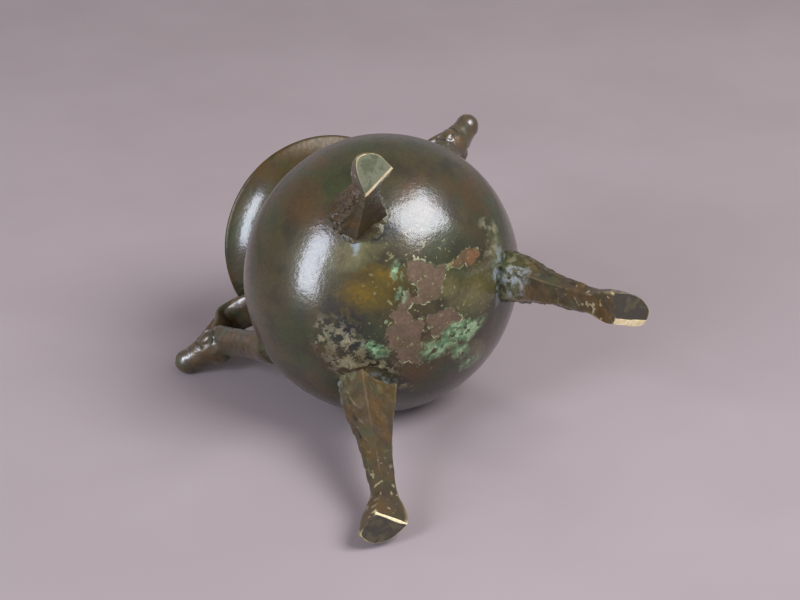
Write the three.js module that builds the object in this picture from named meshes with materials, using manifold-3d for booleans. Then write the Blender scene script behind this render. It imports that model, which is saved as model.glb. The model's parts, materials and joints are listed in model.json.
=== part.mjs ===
// A cast bronze inkwell: a round bowl with a trumpet mouth, on three hoofed legs,
// with two animal-head lugs as handles and a glazed liner that lifts out to be filled.
// Millimetres, +Z up. The hooves stand on z = 0, +X runs through one lug, and the front leg is at +Y.
// The origin is the middle of the footprint, so the bowl's own axis is a little behind it.
import * as THREE from 'three';
import { mergeVertices } from 'three/addons/utils/BufferGeometryUtils.js';
import Module from 'manifold-3d';

const wasm = await Module();
wasm.setup();

// ---- driving dimensions ----
const GAP = 0.3; // clearance between pieces that touch
const BOWL_AXIS_Y = -7.9; // the bowl's axis, from the middle of the footprint
const BOWL_RADIUS = 35;
const BOWL_HALF_HEIGHT = 29.2;
const BOWL_CENTRE_Z = 57.3;
const BOWL_WALL = 2.2;
const SHOULDER_ANGLE = THREE.MathUtils.degToRad(50); // where the round body turns into the neck
const NECK_PULL = new THREE.Vector2(17.6, 26.4); // bends the neck inwards, from the bowl's centre
const FLARE_PULL = new THREE.Vector2(20.2, 35.6); // opens the trumpet
const RIM_RADIUS = 28.3;
const RIM_HEIGHT = 40.2; // above the bowl's centre
const NECK_WALL = 1.7;
const LIP_WALL = 1.3;
const OUTLINE_STEPS = 8;
const BOWL_SEGMENTS = 40;

const LEG_ROOT_ANGLE = THREE.MathUtils.degToRad(46); // from the bottom of the bowl
const HOOF_HEIGHT = 8.5;
const HOOF_HALF_WIDTH = 4.8;
const HOOF_TOE = 4.2;
const HOOF_HEEL = 3.7;
// The legs were cast and set by hand, so each stands at its own angle and reach.
const LEGS = [
  { name: 'right', azimuth: -26, reach: 48.4 },
  { name: 'front', azimuth: 91, reach: 46.8 },
  { name: 'left', azimuth: 212, reach: 38.6 },
];
const PIN_RADIUS = 1.5;
const PIN_HEAD_RADIUS = 3;
const PIN_HEAD_HEIGHT = 1.3;
const LEG_PIN_BITE = 7; // how far a pin goes into its leg
const LUG_PIN_BITE = 3.4;

const HANDLES = [
  { name: 'right', azimuth: 0 },
  { name: 'left', azimuth: 180 },
];
const LUG_ROOT_ANGLE = THREE.MathUtils.degToRad(111); // from the bottom of the bowl
const SNOUT = new THREE.Vector2(49.6, 37.2);
const SNOUT_RADIUS = 3.2;

const LINER_RADIUS = 17;
const LINER_WALL = 2;
const LINER_FLOOR_Z = 46;
const LINER_FLANGE_RADIUS = 19.8;
const LINER_FLANGE_Z = 91; // underside of the flange, where it sits in the trumpet
const LINER_TOP_Z = 94;

const bronze = new THREE.MeshStandardMaterial({ color: '#4f4733', roughness: 0.32, metalness: 0.8 });
const warmBronze = new THREE.MeshStandardMaterial({ color: '#5a4a35', roughness: 0.4, metalness: 0.8 });
const solder = new THREE.MeshStandardMaterial({ color: '#8f9088', roughness: 0.5, metalness: 0.8 });
const pinBronze = new THREE.MeshStandardMaterial({ color: '#7a6238', roughness: 0.45, metalness: 0.9 });
const glaze = new THREE.MeshStandardMaterial({ color: '#d9d2bd', roughness: 0.15, metalness: 0 });

// ---- solids ----
function toSolid(geometry) {
  geometry.deleteAttribute('normal');
  geometry.deleteAttribute('uv');
  const merged = mergeVertices(geometry, 1e-4);
  const vertProperties = new Float32Array(merged.attributes.position.array);
  const triVerts = new Uint32Array(merged.index.array);
  return new wasm.Manifold(new wasm.Mesh({ numProp: 3, vertProperties, triVerts }));
}

function toGeometry(solid) {
  const { vertProperties, triVerts } = solid.getMesh();
  const geometry = new THREE.BufferGeometry();
  geometry.setAttribute('position', new THREE.BufferAttribute(vertProperties, 3));
  geometry.setIndex(new THREE.BufferAttribute(triVerts, 1));
  return geometry;
}

// A closed shape turned about Z from points of (radius, height).
function turned(profile, segments) {
  const geometry = new THREE.LatheGeometry(profile, segments);
  geometry.rotateX(Math.PI / 2);
  return toSolid(geometry);
}

// A closed skin over rings that all have the same number of points, with a flat cap at each end.
function lofted(rings) {
  const count = rings[0].length;
  const positions = [];
  const index = [];
  for (const ring of rings) {
    for (const p of ring) positions.push(p.x, p.y, p.z);
  }
  for (let r = 0; r + 1 < rings.length; r++) {
    for (let i = 0; i < count; i++) {
      const a = r * count + i;
      const b = r * count + ((i + 1) % count);
      index.push(a, b, a + count, b, b + count, a + count);
    }
  }
  const capCentre = (ring) => {
    const centre = new THREE.Vector3();
    for (const p of ring) centre.addScaledVector(p, 1 / count);
    positions.push(centre.x, centre.y, centre.z);
    return positions.length / 3 - 1;
  };
  const first = capCentre(rings[0]);
  const last = capCentre(rings[rings.length - 1]);
  const lastRing = (rings.length - 1) * count;
  for (let i = 0; i < count; i++) {
    const next = (i + 1) % count;
    index.push(first, next, i);
    index.push(last, lastRing + i, lastRing + next);
  }
  const geometry = new THREE.BufferGeometry();
  geometry.setAttribute('position', new THREE.Float32BufferAttribute(positions, 3));
  geometry.setIndex(index);
  return toSolid(geometry);
}

// An ellipsoid with its short axis along `axis`, a direction in the XZ plane.
function blob(centre, radii, axis) {
  const geometry = new THREE.SphereGeometry(1, 14, 8);
  geometry.scale(radii.x, radii.y, radii.z);
  const turn = new THREE.Quaternion().setFromUnitVectors(new THREE.Vector3(0, 0, 1), axis);
  geometry.applyQuaternion(turn);
  geometry.translate(centre.x, centre.y, centre.z);
  return toSolid(geometry);
}

function part(name, solid, material) {
  const mesh = new THREE.Mesh(toGeometry(solid), material);
  mesh.name = name;
  return mesh;
}

// ---- bowl ----
// Half of the bowl's outline, moved outwards by `grow`, up to the lip.
function bowlOutline(grow) {
  const outline = new THREE.Path();
  const radius = BOWL_RADIUS + grow;
  const halfHeight = BOWL_HALF_HEIGHT + grow;
  outline.absellipse(0, 0, radius, halfHeight, -Math.PI / 2, SHOULDER_ANGLE);
  outline.bezierCurveTo(
    NECK_PULL.x + grow, NECK_PULL.y,
    FLARE_PULL.x + grow, FLARE_PULL.y,
    RIM_RADIUS + grow, RIM_HEIGHT
  );
  return outline.getPoints(OUTLINE_STEPS).map((p) => new THREE.Vector2(Math.max(p.x, 0), p.y + BOWL_CENTRE_Z));
}

// The space that the closed bowl fills, for cutting what is fixed to its outside.
function bowlEnvelope() {
  const profile = bowlOutline(GAP);
  profile.push(new THREE.Vector2(RIM_RADIUS + GAP, BOWL_CENTRE_Z + RIM_HEIGHT + GAP));
  profile.push(new THREE.Vector2(0, BOWL_CENTRE_Z + RIM_HEIGHT + GAP));
  return turned(profile, BOWL_SEGMENTS);
}

function bowlShell() {
  const outer = bowlOutline(0);
  const inner = new THREE.Path();
  inner.absellipse(0, 0, BOWL_RADIUS - BOWL_WALL, BOWL_HALF_HEIGHT - BOWL_WALL, -Math.PI / 2, SHOULDER_ANGLE);
  inner.bezierCurveTo(
    NECK_PULL.x - NECK_WALL, NECK_PULL.y,
    FLARE_PULL.x - NECK_WALL, FLARE_PULL.y + NECK_WALL / 2,
    RIM_RADIUS - LIP_WALL, RIM_HEIGHT
  );
  const innerPoints = inner.getPoints(OUTLINE_STEPS);
  const inside = innerPoints.map((p) => new THREE.Vector2(Math.max(p.x, 0), p.y + BOWL_CENTRE_Z));
  return turned([...outer, ...inside.reverse()], BOWL_SEGMENTS);
}

// ---- pins through the bowl's wall ----
// Where a limb is pinned: a point on the bowl's outer face, the way straight out of it in the XZ plane,
// and how far the pin bites.
function bowlSeat(angle, bite) {
  const x = BOWL_RADIUS * Math.sin(angle);
  const z = -BOWL_HALF_HEIGHT * Math.cos(angle);
  const normal = new THREE.Vector3(x / BOWL_RADIUS ** 2, 0, z / BOWL_HALF_HEIGHT ** 2).normalize();
  return { point: new THREE.Vector3(x, 0, z + BOWL_CENTRE_Z), normal, bite };
}

const legSeat = bowlSeat(LEG_ROOT_ANGLE, LEG_PIN_BITE);
const lugSeat = bowlSeat(LUG_ROOT_ANGLE, LUG_PIN_BITE);

// Turns a shape made along +Z so that it points out of the seat, with its base `start` from the bowl's face.
function alongSeat(solid, seat, start) {
  const turn = new THREE.Quaternion().setFromUnitVectors(new THREE.Vector3(0, 0, 1), seat.normal);
  const base = seat.point.clone().addScaledVector(seat.normal, start);
  const placed = toGeometry(solid).applyMatrix4(new THREE.Matrix4().compose(base, turn, new THREE.Vector3(1, 1, 1)));
  return toSolid(placed);
}

function rod(radius, from, to) {
  const length = to - from;
  return turned(
    [new THREE.Vector2(0, 0), new THREE.Vector2(radius, 0), new THREE.Vector2(radius, length), new THREE.Vector2(0, length)],
    16
  ).translate([0, 0, from]);
}

// A pin with a hammered dome inside the bowl and a shank that bites into the leg or lug.
function pin(seat) {
  const headBase = -BOWL_WALL - GAP;
  const profile = [
    new THREE.Vector2(0, headBase - PIN_HEAD_HEIGHT),
    new THREE.Vector2(PIN_HEAD_RADIUS * 0.6, headBase - PIN_HEAD_HEIGHT * 0.85),
    new THREE.Vector2(PIN_HEAD_RADIUS, headBase - PIN_HEAD_HEIGHT * 0.35),
    new THREE.Vector2(PIN_HEAD_RADIUS, headBase),
    new THREE.Vector2(PIN_RADIUS, headBase),
    new THREE.Vector2(PIN_RADIUS, seat.bite - 0.5),
    new THREE.Vector2(PIN_RADIUS - 0.5, seat.bite),
    new THREE.Vector2(0, seat.bite),
  ];
  return alongSeat(turned(profile, 16), seat, 0);
}

function pinHole(seat) {
  return alongSeat(rod(PIN_RADIUS + GAP, -BOWL_WALL * 2, seat.bite + GAP), seat, 0);
}

// ---- limbs: rings threaded on a curve in the XZ plane ----
// `girth` is a curve of (half-width across Y, half-depth in the plane) that the limb takes from end to end.
function limb(path, girth, steps, grow) {
  const count = 12;
  const rings = [];
  for (let step = 0; step <= steps; step++) {
    const u = step / steps;
    const centre = path.getPointAt(u);
    const along = path.getTangentAt(u);
    const out = new THREE.Vector3(-along.z, 0, along.x);
    const size = girth.getPoint(u);
    const ring = [];
    for (let i = 0; i < count; i++) {
      const angle = (i / count) * 2 * Math.PI;
      const p = centre.clone().addScaledVector(out, (size.y + grow) * Math.cos(angle));
      p.y -= (size.x + grow) * Math.sin(angle);
      ring.push(p);
    }
    rings.push(ring);
  }
  return lofted(rings);
}

// A point beside the bowl, from its centre.
function beside(x, z) {
  return new THREE.Vector3(x, 0, z + BOWL_CENTRE_Z);
}

// ---- legs, made along +X ----
function legShape(reach, grow) {
  const ankle = new THREE.Vector3(reach - 5.6, 0, HOOF_HEIGHT);
  const root = legSeat.point.clone().addScaledVector(legSeat.normal, -1.5);
  const knee = legSeat.point.clone().lerp(ankle, 0.45).add(new THREE.Vector3(0.6, 0, 0.4));
  const heel = new THREE.Vector3(reach - 3, 0, HOOF_HEIGHT * 0.45);
  const path = new THREE.CatmullRomCurve3([root, legSeat.point, knee, ankle, heel]);
  const girth = new THREE.SplineCurve([
    new THREE.Vector2(7.4, 5.9), // thigh
    new THREE.Vector2(6.9, 5.7),
    new THREE.Vector2(4.8, 4.2),
    new THREE.Vector2(3.2, 2.9), // shank
    new THREE.Vector2(2.8, 2.5),
    new THREE.Vector2(3.4, 2.8), // pastern
  ]);
  return limb(path, girth, 10, grow);
}

// A hoof with a straight heel and a round toe, flat underneath.
function hoof(reach) {
  const levels = [
    { z: 0, size: 0.95, back: 0 },
    { z: 1.2, size: 1, back: 0.2 },
    { z: HOOF_HEIGHT * 0.6, size: 0.74, back: 2 },
    { z: HOOF_HEIGHT, size: 0.58, back: 4.4 },
  ];
  const rings = levels.map(({ z, size, back }) => {
    const ring = [];
    const count = 16;
    for (let i = 0; i < count; i++) {
      const angle = (i / count) * 2 * Math.PI;
      const c = Math.cos(angle);
      const s = Math.sin(angle);
      const squareness = c < 0 ? 0.45 : 1;
      const x = (c < 0 ? -HOOF_HEEL : HOOF_TOE) * Math.abs(c) ** squareness;
      const y = HOOF_HALF_WIDTH * Math.sign(s) * Math.abs(s) ** squareness;
      ring.push(new THREE.Vector3(reach - back + x * size, y * size, z));
    }
    return ring;
  });
  return lofted(rings);
}

function leg(reach) {
  return legShape(reach, 0).add(hoof(reach)).subtract(bowlEnvelope()).subtract(pinHole(legSeat));
}

// Solder that fills the corner round the top of a leg.
function legSolder(reach) {
  const fillet = blob(legSeat.point, new THREE.Vector3(8.4, 9.3, 2.4), legSeat.normal);
  return fillet.subtract(bowlEnvelope()).subtract(legShape(reach, GAP));
}

// ---- handles, made along +X ----
// The neck climbs from the shoulder of the bowl to a head that looks out.
function lugNeck(grow) {
  const path = new THREE.CatmullRomCurve3([
    beside(30.6, 8.5),
    beside(34.6, 13),
    beside(36.8, 21),
    beside(38.6, 28),
    beside(43.4, 34),
    beside(SNOUT.x - 0.6, SNOUT.y - 0.2),
  ]);
  const girth = new THREE.SplineCurve([
    new THREE.Vector2(4.6, 4.2),
    new THREE.Vector2(3.8, 3.1),
    new THREE.Vector2(3.4, 2.1),
    new THREE.Vector2(4.2, 2.7),
    new THREE.Vector2(5, 4.1), // brow
    new THREE.Vector2(3.1, 2.9),
  ]);
  return limb(path, girth, 12, grow);
}

// A bar runs from the back of the head to the underside of the lip.
function lugBar(grow) {
  const path = new THREE.CatmullRomCurve3([
    beside(41, 32.2),
    beside(38.4, 36.2),
    beside(34.8, 39.4),
    beside(30.6, 39.6),
    beside(26, 38.4),
  ]);
  const girth = new THREE.SplineCurve([
    new THREE.Vector2(4.3, 2.4),
    new THREE.Vector2(4, 2.2),
    new THREE.Vector2(3.5, 2.1),
    new THREE.Vector2(2.8, 1.5),
    new THREE.Vector2(2.8, 1.6),
  ]);
  return limb(path, girth, 10, grow);
}

function lug() {
  const straightUp = new THREE.Vector3(0, 0, 1);
  const snout = blob(beside(SNOUT.x, SNOUT.y), new THREE.Vector3(1, 1, 1).multiplyScalar(SNOUT_RADIUS), straightUp);
  const ear = blob(beside(35, 40), new THREE.Vector3(1.8, 3, 2), straightUp);
  const whole = lugNeck(0).add(lugBar(0)).add(snout).add(ear);
  return whole.subtract(bowlEnvelope()).subtract(pinHole(lugSeat));
}

function lugRootSolder() {
  const fillet = blob(lugSeat.point, new THREE.Vector3(6.6, 5, 2.2), lugSeat.normal);
  return fillet.subtract(bowlEnvelope()).subtract(lugNeck(GAP));
}

function lugLipSolder() {
  const at = new THREE.Vector3(29.3, 0, 38.6 + BOWL_CENTRE_Z);
  const fillet = blob(at, new THREE.Vector3(1.9, 4.6, 3), new THREE.Vector3(0, 0, 1));
  return fillet.subtract(bowlEnvelope()).subtract(lugBar(GAP));
}

// ---- liner ----
function liner() {
  const inside = LINER_RADIUS - LINER_WALL;
  const profile = [
    new THREE.Vector2(0, LINER_FLOOR_Z),
    new THREE.Vector2(LINER_RADIUS - 3, LINER_FLOOR_Z),
    new THREE.Vector2(LINER_RADIUS - 0.8, LINER_FLOOR_Z + 1),
    new THREE.Vector2(LINER_RADIUS, LINER_FLOOR_Z + 3.5),
    new THREE.Vector2(LINER_RADIUS, LINER_FLANGE_Z - 1.6),
    new THREE.Vector2(LINER_FLANGE_RADIUS, LINER_FLANGE_Z + 0.8),
    new THREE.Vector2(LINER_FLANGE_RADIUS + 0.2, LINER_TOP_Z - 0.8),
    new THREE.Vector2(LINER_FLANGE_RADIUS - 0.6, LINER_TOP_Z),
    new THREE.Vector2(inside + 1.2, LINER_TOP_Z - 0.2),
    new THREE.Vector2(inside, LINER_TOP_Z - 1.6),
    new THREE.Vector2(inside, LINER_FLOOR_Z + 5),
    new THREE.Vector2(inside - 1.2, LINER_FLOOR_Z + LINER_WALL + 0.8),
    new THREE.Vector2(inside - 3.5, LINER_FLOOR_Z + LINER_WALL),
    new THREE.Vector2(0, LINER_FLOOR_Z + LINER_WALL),
  ];
  return turned(profile, 32);
}

// ---- the whole inkwell ----
const inkwell = new THREE.Group();
inkwell.position.y = BOWL_AXIS_Y;

let shell = bowlShell();
for (const { azimuth } of LEGS) shell = shell.subtract(pinHole(legSeat).rotate([0, 0, azimuth]));
for (const { azimuth } of HANDLES) shell = shell.subtract(pinHole(lugSeat).rotate([0, 0, azimuth]));
inkwell.add(part('bowl', shell, bronze));
inkwell.add(part('ink_liner', liner(), glaze));

for (const { name, azimuth, reach } of LEGS) {
  const side = new THREE.Group();
  side.rotation.z = THREE.MathUtils.degToRad(azimuth);
  side.add(part(`leg_${name}`, leg(reach), warmBronze));
  side.add(part(`leg_solder_${name}`, legSolder(reach), solder));
  side.add(part(`leg_pin_${name}`, pin(legSeat), pinBronze));
  inkwell.add(side);
}

for (const { name, azimuth } of HANDLES) {
  const side = new THREE.Group();
  side.rotation.z = THREE.MathUtils.degToRad(azimuth);
  side.add(part(`handle_${name}`, lug(), warmBronze));
  side.add(part(`handle_root_solder_${name}`, lugRootSolder(), solder));
  side.add(part(`handle_lip_solder_${name}`, lugLipSolder(), solder));
  side.add(part(`handle_pin_${name}`, pin(lugSeat), pinBronze));
  inkwell.add(side);
}

const root = new THREE.Group();
root.add(inkwell);
export default root;
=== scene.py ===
"""The looks of a small cast bronze inkwell, built round its fixed frame.

A round bowl with a trumpet mouth stands on three hoofed legs and has two animal-head lugs. The limbs were
cast apart and soft-soldered on. The inkwell lies on its side on a pale table. Shapes are made in
millimetres from the middle of the bowl, and each piece is put in its place, in metres, when it is done.
"""
import json
import math

import bmesh
import bpy
import numpy as np
from mathutils import Matrix, Vector, noise
from mathutils.geometry import interpolate_bezier


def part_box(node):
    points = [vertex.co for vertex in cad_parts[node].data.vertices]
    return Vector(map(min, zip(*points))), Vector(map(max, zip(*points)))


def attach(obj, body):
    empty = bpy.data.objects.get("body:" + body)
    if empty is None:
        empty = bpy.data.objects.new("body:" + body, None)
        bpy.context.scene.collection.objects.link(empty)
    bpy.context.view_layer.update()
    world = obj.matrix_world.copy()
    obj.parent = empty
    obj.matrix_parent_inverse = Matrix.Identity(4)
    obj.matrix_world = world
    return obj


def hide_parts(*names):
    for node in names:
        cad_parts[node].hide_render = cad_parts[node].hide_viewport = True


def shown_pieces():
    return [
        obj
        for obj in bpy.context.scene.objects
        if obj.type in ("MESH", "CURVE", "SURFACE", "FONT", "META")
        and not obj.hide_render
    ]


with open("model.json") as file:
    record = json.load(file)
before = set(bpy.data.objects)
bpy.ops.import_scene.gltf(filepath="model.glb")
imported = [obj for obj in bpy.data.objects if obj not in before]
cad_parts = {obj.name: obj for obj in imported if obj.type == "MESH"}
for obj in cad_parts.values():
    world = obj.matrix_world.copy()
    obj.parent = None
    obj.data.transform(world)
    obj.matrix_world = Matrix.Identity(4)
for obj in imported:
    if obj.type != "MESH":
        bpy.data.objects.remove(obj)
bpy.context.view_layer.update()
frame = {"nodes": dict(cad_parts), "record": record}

MM = 0.001

# ---- sizes from the frame, in millimetres ----
bowl_low, bowl_high = (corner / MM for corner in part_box("bowl"))
liner_low, liner_high = (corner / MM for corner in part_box("ink_liner"))
BOWL_RADIUS = (bowl_high.x - bowl_low.x) / 2
HALF_HEIGHT = 29.2
CENTRE = Vector((0, (bowl_low.y + bowl_high.y) / 2, bowl_low.z + HALF_HEIGHT))
RIM_HEIGHT = bowl_high.z - CENTRE.z
SOLES = {mount["name"]: Vector(mount["pos_m"]) / MM - CENTRE for mount in frame["record"]["mounts"]}

RIM_RADIUS = 28.3
BOWL_WALL = 2.2
NECK_WALL = 1.7
SHOULDER = math.radians(50)  # where the round body turns into the neck
LEG_ROOT = math.radians(46)  # from the bottom of the bowl
LUG_ROOT = math.radians(111)
MARK_DEPTH = 12  # how far a mark reaches in and out of the bowl's face


# ---- shaping ----
def smooth(value, low=0.0, high=1.0):
    """0 below low, 1 above high and an easy slope between."""
    share = min(max((value - low) / (high - low), 0.0), 1.0)
    return share * share * (3 - 2 * share)


def hump(distance, width):
    """1 at no distance, fading to nothing a few widths away."""
    return math.exp(-((distance / width) ** 2))


def through(points, share, corners=(), closed=False):
    """A point of the smooth line through the points, which turns sharply at the corners."""
    spans = len(points) if closed else len(points) - 1
    place = min(share * spans, spans - 1e-6)
    first = int(place)
    part = place - first

    def point(index):
        return points[index % len(points)] if closed else points[min(max(index, 0), spans)]

    start, end = point(first), point(first + 1)
    out = end - start if first in corners else (end - point(first - 1)) / 2
    into = end - start if (first + 1) % len(points) in corners else (point(first + 2) - start) / 2
    return (
        start * (2 * part**3 - 3 * part**2 + 1)
        + out * (part**3 - 2 * part**2 + part)
        + end * (3 * part**2 - 2 * part**3)
        + into * (part**3 - part**2)
    )


def sleeve(around, rows, place):
    """A closed skin: a sheet rolled into a tube by place(turn, row), both ends drawn in to a point."""
    bm = bmesh.new()
    bmesh.ops.create_grid(bm, x_segments=around, y_segments=rows, size=0.5)
    for vert in bm.verts:
        vert.co = place((vert.co.x + 0.5) % 1, vert.co.y + 0.5)
    bmesh.ops.remove_doubles(bm, verts=bm.verts, dist=0.0005)
    bmesh.ops.recalc_face_normals(bm, faces=bm.faces)
    return bm


def turned(outline, steps):
    """A shape turned about the upright axis from points of (radius, height)."""
    bm = bmesh.new()
    verts = [bm.verts.new((radius, 0, height)) for radius, height in outline]
    edges = [bm.edges.new(pair) for pair in zip(verts, verts[1:])]
    bmesh.ops.spin(
        bm, geom=verts + edges, cent=(0, 0, 0), axis=(0, 0, 1), angle=2 * math.pi, steps=steps, use_merge=True
    )
    bmesh.ops.remove_doubles(bm, verts=bm.verts, dist=0.0005)
    bmesh.ops.recalc_face_normals(bm, faces=bm.faces)
    return bm


def ball(bm, centre, radii, pitch=0.0):
    """An ellipsoid, tipped up by pitch degrees from +X."""
    turn = Matrix.Rotation(-math.radians(pitch), 4, "Y")
    place = Matrix.Translation(centre) @ turn @ Matrix.Diagonal((*radii, 1))
    bmesh.ops.create_uvsphere(bm, u_segments=32, v_segments=20, radius=1, matrix=place)


def join(bm, other):
    """Adds the other shape to bm, and frees it."""
    held = bpy.data.meshes.new("held")
    other.to_mesh(held)
    other.free()
    bm.from_mesh(held)
    bpy.data.meshes.remove(held)


def fused(bm, voxel):
    """One skin over shapes that run into each other, as a casting has."""
    mesh = bpy.data.meshes.new("held")
    bm.to_mesh(mesh)
    bm.free()
    held = bpy.data.objects.new("held", mesh)
    bpy.context.scene.collection.objects.link(held)
    skin = held.modifiers.new("skin", "REMESH")
    skin.mode = "VOXEL"
    skin.voxel_size = voxel
    ready = held.evaluated_get(bpy.context.evaluated_depsgraph_get())
    whole = bmesh.new()
    whole.from_mesh(ready.to_mesh())
    ready.to_mesh_clear()
    bpy.data.objects.remove(held)
    bpy.data.meshes.remove(mesh)
    return whole


def uneven(bm, amount, size):
    """The slight waves of a surface that was cast and scraped by hand."""
    bm.normal_update()
    moves = [vert.normal * noise.noise(vert.co / size) * amount for vert in bm.verts]
    for vert, move in zip(bm.verts, moves):
        vert.co += move


def mark_high_points(mesh):
    """Writes how far each vertex stands proud of those round it, for wear on edges and dirt in hollows."""
    count = len(mesh.vertices)
    places = np.empty(count * 3)
    mesh.vertices.foreach_get("co", places)
    places = places.reshape(-1, 3) / MM
    normals = np.empty(count * 3)
    mesh.vertices.foreach_get("normal", normals)
    normals = normals.reshape(-1, 3)
    ends = np.empty(len(mesh.edges) * 2, np.int32)
    mesh.edges.foreach_get("vertices", ends)
    first, second = ends.reshape(-1, 2).T
    shared = np.bincount(ends, minlength=count)

    def average(values):
        total = np.bincount(first, values[second], count) + np.bincount(second, values[first], count)
        return total / shared

    middle = np.stack([average(places[:, axis]) for axis in range(3)], 1)
    length = np.linalg.norm(places[first] - places[second], axis=1)
    reach = (np.bincount(first, length, count) + np.bincount(second, length, count)) / shared
    proud = ((places - middle) * normals).sum(1) / reach**2
    for _ in range(3):
        proud = (proud + average(proud)) / 2
    layer = mesh.attributes.new("proud", "FLOAT", "POINT")
    layer.data.foreach_set("value", np.clip(proud * 2, -2, 2).astype(np.float32))


def azimuth(degrees):
    """A turn about the bowl's axis."""
    return Matrix.Rotation(math.radians(degrees), 4, "Z")


def bowl_face(angle):
    """A point on the bowl's outer face over +X, at an angle from the bottom, and the way straight out."""
    point = Vector((BOWL_RADIUS * math.sin(angle), 0, -HALF_HEIGHT * math.cos(angle)))
    out = Vector((point.x / BOWL_RADIUS**2, 0, point.z / HALF_HEIGHT**2)).normalized()
    return point, out


def finished(bm, name, finish, body, stands_for, place=Matrix(), sharp=50):
    """Makes the piece from its shape: in its place, with its finish, riding on its body."""
    bmesh.ops.transform(bm, matrix=Matrix.Scale(MM, 4) @ Matrix.Translation(CENTRE) @ place, verts=bm.verts)
    for face in bm.faces:
        face.smooth = True
    for edge in bm.edges:
        edge.smooth = edge.calc_face_angle(0) < math.radians(sharp)
    mesh = bpy.data.meshes.new(name)
    bm.to_mesh(mesh)
    bm.free()
    mark_high_points(mesh)
    mesh.materials.append(finish)
    piece = bpy.data.objects.new(name, mesh)
    bpy.context.scene.collection.objects.link(piece)
    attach(piece, body)
    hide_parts(*stands_for)
    return piece


# ---- finishes ----
def colour(code):
    """A linear colour from sRGB hex."""
    shares = [int(code[start : start + 2], 16) / 255 for start in (1, 3, 5)]
    return (*(s / 12.92 if s <= 0.04045 else ((s + 0.055) / 1.055) ** 2.4 for s in shares), 1.0)


def add(tree, kind, inputs=None, **settings):
    """Adds one node with its settings, and its inputs set or linked. Returns its outputs."""
    node = tree.nodes.new(kind)
    for name, value in settings.items():
        setattr(node, name, value)
    for name, value in (inputs or {}).items():
        if isinstance(value, bpy.types.NodeSocket):
            tree.links.new(value, node.inputs[name])
        else:
            node.inputs[name].default_value = value
    return node.outputs


def new_finish(name, **constants):
    """A material with one surface shader, whose constant values are set on its own sockets."""
    made = bpy.data.materials.new(name)
    made.use_nodes = True
    shader = made.node_tree.nodes["Principled BSDF"]
    for socket, value in constants.items():
        shader.inputs[socket.replace("_", " ")].default_value = value
    return made, made.node_tree, shader


def surface(tree, shader, base, rough, height, depth):
    """Joins a finish's colour, roughness and relief to its shader. depth is the relief's size in metres."""
    tree.links.new(base, shader.inputs["Base Color"])
    tree.links.new(rough, shader.inputs["Roughness"])
    bump = add(tree, "ShaderNodeBump", {"Height": height, "Distance": depth, "Strength": 1.0})
    tree.links.new(bump["Normal"], shader.inputs["Normal"])
    tree.links.new(bump["Normal"], shader.inputs["Coat Normal"])


def cloud(tree, place, grain, low, high, detail=3.0, rough=0.55, warp=0.0, shift=0.0):
    """Soft-edged drifts about `grain` millimetres across: 0 where the noise is below low, 1 above high."""
    moved = add(tree, "ShaderNodeVectorMath", {0: place, 1: (shift, shift * 0.7, -shift)}, operation="ADD")[0]
    size = {
        "Vector": moved,
        "Scale": 1 / (grain * MM),
        "Detail": detail,
        "Roughness": rough,
        "Distortion": warp,
    }
    wave = add(tree, "ShaderNodeTexNoise", size)["Fac"]
    span = {"Value": wave, "From Min": low, "From Max": high}
    return add(tree, "ShaderNodeMapRange", span, interpolation_type="SMOOTHSTEP")[0]


def lay(tree, base, *coats):
    """Lays coats on a colour, one over another. Each is (colour, where it lies, how much of it shows)."""
    base = colour(base) if isinstance(base, str) else base
    for tint, where, strength in coats:
        tint = colour(tint) if isinstance(tint, str) else tint
        share = add(tree, "ShaderNodeMath", {0: where, 1: strength}, operation="MULTIPLY", use_clamp=True)[0]
        base = add(tree, "ShaderNodeMix", {0: share, 6: base, 7: tint}, data_type="RGBA")[2]
    return base


def on_bowl(around, up):
    """A point of the bowl's face, in metres: degrees round the axis and from the bottom."""
    point, _ = bowl_face(math.radians(up))
    return (CENTRE + azimuth(around) @ point) * MM


def patch(tree, place, start, end, width, edge):
    """A mark from start to end on the bowl, each (degrees round, degrees up), width in millimetres.

    It is 1 inside and falls to 0 over the edge, a share of its half-width. place carries the raggedness."""
    first, last = on_bowl(*start), on_bowl(*end)
    middle = (first + last) / 2
    out = (middle - CENTRE * MM).normalized()
    along = last - first if start != end else Vector((out.y, -out.x, 0))
    along = (along - out * along.dot(out)).normalized()
    turn = Matrix((along, out.cross(along), out)).transposed().to_euler()
    half = width * MM / 2
    size = ((last - first).length / 2 + half, half, MARK_DEPTH * MM)
    fitted = {"Vector": place, "Location": middle, "Rotation": turn, "Scale": size}
    inside = add(tree, "ShaderNodeMapping", fitted, vector_type="TEXTURE")[0]
    far = add(tree, "ShaderNodeVectorMath", {0: inside}, operation="LENGTH")["Value"]
    span = {"Value": far, "From Min": 1.0, "From Max": 1.0 - edge}
    return add(tree, "ShaderNodeMapRange", span)[0]


def patches(tree, place, marks, edge):
    """Several marks as one."""
    shares = [patch(tree, place, *mark, edge) for mark in marks]
    whole = shares[0]
    for share in shares[1:]:
        whole = add(tree, "ShaderNodeMath", {0: whole, 1: share}, operation="MAXIMUM")[0]
    return whole


def ragged(tree, place, grain, amount):
    """The place, pushed about by noise of a grain in millimetres, for torn edges."""
    size = {"Vector": place, "Scale": 1 / (grain * MM), "Detail": 3.0, "Roughness": 0.6}
    push = add(tree, "ShaderNodeTexNoise", size)["Color"]
    centred = add(tree, "ShaderNodeVectorMath", {0: push, 1: (0.5, 0.5, 0.5)}, operation="SUBTRACT")[0]
    scaled = add(tree, "ShaderNodeVectorMath", {0: centred, "Scale": amount * MM}, operation="SCALE")[0]
    return add(tree, "ShaderNodeVectorMath", {0: place, 1: scaled}, operation="ADD")[0]


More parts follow.
